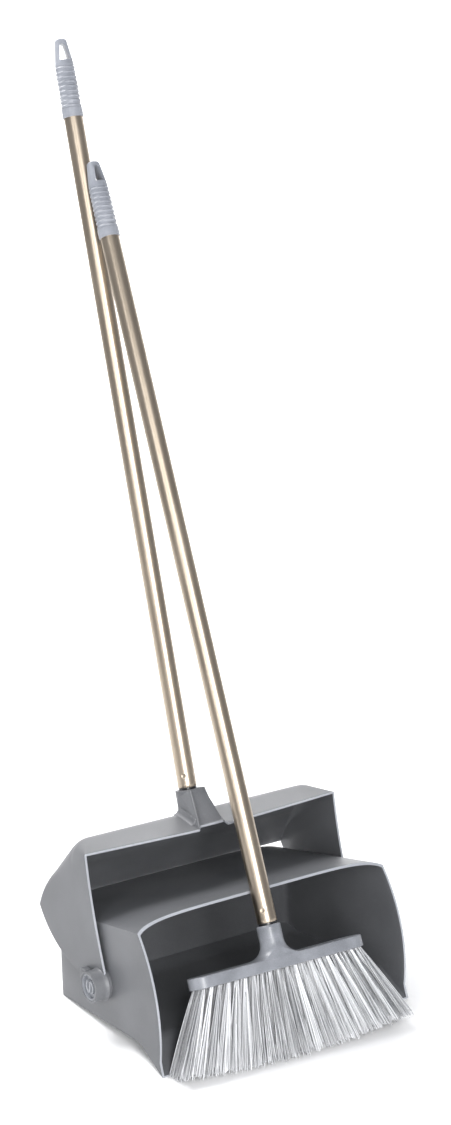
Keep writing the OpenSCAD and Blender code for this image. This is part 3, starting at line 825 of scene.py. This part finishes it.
def strandTree(material, thick):
    tree = bpy.data.node_groups.new("bristleStrands", "GeometryNodeTree")
    face = tree.interface
    face.new_socket("Geometry", in_out="INPUT", socket_type="NodeSocketGeometry")
    thickness = face.new_socket("Thickness", in_out="INPUT", socket_type="NodeSocketFloat")
    thickness.default_value = thick
    sides = face.new_socket("Sides", in_out="INPUT", socket_type="NodeSocketInt")
    sides.default_value = 4
    face.new_socket("Geometry", in_out="OUTPUT", socket_type="NodeSocketGeometry")

    def add(kind, settings=None):
        made = tree.nodes.new(kind)
        for key, setting in (settings or {}).items():
            setattr(made, key, setting)
        return made

    def join(a, out, b, into):
        tree.links.new(a.outputs[out], b.inputs[into])

    start = add("NodeGroupInput")
    end = add("NodeGroupOutput")
    strand = add("GeometryNodeMeshCone", {"fill_type": "NONE"})
    strand.inputs["Side Segments"].default_value = 5
    strand.inputs["Radius Top"].default_value = 0.75
    strand.inputs["Radius Bottom"].default_value = 1.0
    strand.inputs["Depth"].default_value = 1.0
    join(start, "Sides", strand, "Vertices")
    place = add("GeometryNodeInputPosition")
    split = add("ShaderNodeSeparateXYZ")
    join(place, 0, split, 0)
    keep = add("GeometryNodeStoreNamedAttribute", {"data_type": "FLOAT", "domain": "POINT"})
    keep.inputs["Name"].default_value = "strandAlong"
    join(strand, "Mesh", keep, "Geometry")
    join(split, 2, keep, "Value")
    toTip = add("GeometryNodeInputNamedAttribute", {"data_type": "FLOAT_VECTOR"})
    toTip.inputs["Name"].default_value = "toTip"
    bow = add("GeometryNodeInputNamedAttribute", {"data_type": "FLOAT_VECTOR"})
    bow.inputs["Name"].default_value = "bow"
    aim = add("FunctionNodeAlignRotationToVector", {"axis": "Z"})
    join(toTip, "Attribute", aim, "Vector")
    length = add("ShaderNodeVectorMath", {"operation": "LENGTH"})
    join(toTip, "Attribute", length, 0)
    size = add("ShaderNodeCombineXYZ")
    join(start, "Thickness", size, 0)
    join(start, "Thickness", size, 1)
    join(length, "Value", size, 2)
    plant = add("GeometryNodeInstanceOnPoints")
    join(start, "Geometry", plant, "Points")
    join(keep, "Geometry", plant, "Instance")
    join(aim, "Rotation", plant, "Rotation")
    join(size, "Vector", plant, "Scale")
    realize = add("GeometryNodeRealizeInstances")
    join(plant, "Instances", realize, "Geometry")
    along = add("GeometryNodeInputNamedAttribute", {"data_type": "FLOAT"})
    along.inputs["Name"].default_value = "strandAlong"
    rest = add("ShaderNodeMath", {"operation": "SUBTRACT"})
    rest.inputs[0].default_value = 1.0
    join(along, "Attribute", rest, 1)
    arch = add("ShaderNodeMath", {"operation": "MULTIPLY"})
    join(along, "Attribute", arch, 0)
    join(rest, 0, arch, 1)
    shift = add("ShaderNodeVectorMath", {"operation": "SCALE"})
    join(bow, "Attribute", shift, 0)
    join(arch, 0, shift, "Scale")
    move = add("GeometryNodeSetPosition")
    join(realize, "Geometry", move, "Geometry")
    join(shift, "Vector", move, "Offset")
    paint = add("GeometryNodeSetMaterial")
    paint.inputs["Material"].default_value = material
    join(move, "Geometry", paint, "Geometry")
    join(paint, "Geometry", end, 0)
    return tree, thickness.identifier, sides.identifier


def buildBristles(shape):
    s = shape
    tree, thickId, sidesId = strandTree(bristleFibre, s["thick"])
    pick = random.Random(s["seed"])
    for row in (1, 2, 3, 4):
        node = "bristles_row_%d" % row
        tufts = tuftsOf(node)
        across = (tufts[-1][0] - tufts[0][0]).normalized()
        deep = Vector((-across.y, across.x, 0)).normalized()
        roots, tips, bows, tones = [], [], [], []
        for k, (root, tip) in enumerate(tufts):
            down = (tip - root).normalized()
            start = root + down * s["plantDepth"]
            tuftTone = pick.uniform(-0.12, 0.12)
            for _ in range(s["strands"]):
                a = pick.uniform(0, 2 * math.pi)
                r = math.sqrt(pick.random())
                offset = (math.cos(a) * r, math.sin(a) * r)
                base = start + across * offset[0] * s["rootRadius"] + deep * offset[1] * s["rootRadius"]
                stray = 1.0 + max(pick.gauss(0, 0.22), -0.3)
                aside = across * offset[0] * s["spreadAcross"] * stray
                point = tip + aside + deep * offset[1] * s["spreadDeep"] * stray
                reach = 1 - abs(pick.gauss(0, 0.5)) * s["ragged"] / 0.1
                point = base + (point - base) * reach
                if point.z < s["floorGap"]:
                    point = base + (point - base) * ((base.z - s["floorGap"]) / (base.z - point.z))
                roots.append(base)
                tips.append(point - base)
                bows.append((across * pick.uniform(-1, 1) + deep * pick.uniform(-1, 1)) * s["bow"])
                tones.append(min(max(pick.gauss(0.45 + tuftTone, 0.28), 0), 1))
        mesh = bpy.data.meshes.new(node)
        mesh.from_pydata([tuple(p) for p in roots], [], [])
        for name, values in (("toTip", tips), ("bow", bows)):
            layer = mesh.attributes.new(name, "FLOAT_VECTOR", "POINT")
            layer.data.foreach_set("vector", [c for v in values for c in v])
        layer = mesh.attributes.new("strandTone", "FLOAT", "POINT")
        layer.data.foreach_set("value", tones)
        piece = bpy.data.objects.new("bristlesRow%d" % row, mesh)
        bpy.context.scene.collection.objects.link(piece)
        grow = piece.modifiers.new("strands", "NODES")
        grow.node_group = tree
        grow[thickId] = s["thick"]
        grow[sidesId] = s["sides"]
        bake(piece)
        piece.data.shade_smooth()
        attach(piece, "broom")
        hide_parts(node)
        print("bristles row", row, len(piece.data.polygons))


buildBristles(bristleShape)

stageLook = {"floor": (0.93, 0.93, 0.93, 1), "world": (0.92, 0.94, 1.0, 1), "worldStrength": 0.40,
             "size": 5.0, "rise": 4.0, "turn": 1.2, "behind": 1.4}


def buildStage(look):
    finish = Finish("paleFloor")
    speck = finish.noise(30, 3)
    finish.set(Base_Color=finish.blend(speck * 0.1, look["floor"], (0.9, 0.9, 0.9, 1)),
               Roughness=0.65 + speck * 0.05)
    size, rise, turn, behind = look["size"], look["rise"], look["turn"], look["behind"]
    verts = []
    path = [(-size, 0.0), (behind, 0.0)]
    path += [(behind + turn * math.sin(a), turn - turn * math.cos(a))
             for a in np.linspace(0, math.pi / 2, 13)[1:]]
    path += [(behind + turn, rise)]
    side = Vector((0.832, -0.555, 0))
    ahead = Vector((0.555, 0.832, 0))
    for run, high in path:
        for across in (-size, size):
            verts.append(ahead * run + side * across + Vector((0, 0, high)))
    faces = gridFaces(len(path), 2)
    floor = addPiece("floor", verts, faces, finish.material, None, 0)
    floor.data.shade_smooth()
    world = bpy.data.worlds.new("studio")
    bpy.context.scene.world = world
    world.use_nodes = True
    world.node_tree.nodes["Background"].inputs[0].default_value = look["world"]
    world.node_tree.nodes["Background"].inputs[1].default_value = look["worldStrength"]


def addLight(name, spot, target, size, power, colour=(1, 1, 1)):
    data = bpy.data.lights.new(name, "AREA")
    data.shape = "RECTANGLE"
    data.size, data.size_y = size
    data.energy = power
    data.color = colour
    light = bpy.data.objects.new(name, data)
    light.location = spot
    light.rotation_euler = (Vector(target) - Vector(spot)).to_track_quat("-Z", "Y").to_euler()
    bpy.context.scene.collection.objects.link(light)


buildStage(stageLook)
addLight("backSoftbox", (-0.7, 1.5, 2.3), (0, 0.2, 0.15), (1.2, 1.2), 66)
addLight("frontSoftbox", (-1.05, -2.3, 1.0), (0, 0.1, 0.35), (0.85, 2.0), 88)
addLight("leftSoftbox", (-2.2, -1.2, 1.6), (-0.1, 0.0, 0.0), (0.5, 1.2), 14)
addLight("backdropSoftbox", (0.7, 0.9, 1.9), (1.6, 2.4, 1.0), (1.6, 1.6), 70)
bpy.context.scene.view_settings.view_transform = "Standard"

cameraSetup = {"place": (-1.20368, -1.67829, 1.10449), "ahead": (0.53486, 0.80259, -0.26415), "lens": 66.47,
               "roll": 0.09}


def buildCamera(setup):
    data = bpy.data.cameras.new("camera")
    data.lens = setup["lens"]
    data.sensor_width = 36
    data.sensor_fit = "AUTO"
    data.clip_end = 50
    camera = bpy.data.objects.new("camera", data)
    ahead = Vector(setup["ahead"]).normalized()
    right = ahead.cross(Vector((0, 0, 1))).normalized()
    up = right.cross(ahead)
    turned = Matrix((right, up, -ahead)).transposed().to_4x4()
    roll = Matrix.Rotation(math.radians(setup["roll"]), 4, "Z")
    camera.matrix_world = Matrix.Translation(setup["place"]) @ turned @ roll
    bpy.context.scene.collection.objects.link(camera)
    bpy.context.scene.camera = camera


buildCamera(cameraSetup)
print("stage and camera ready")
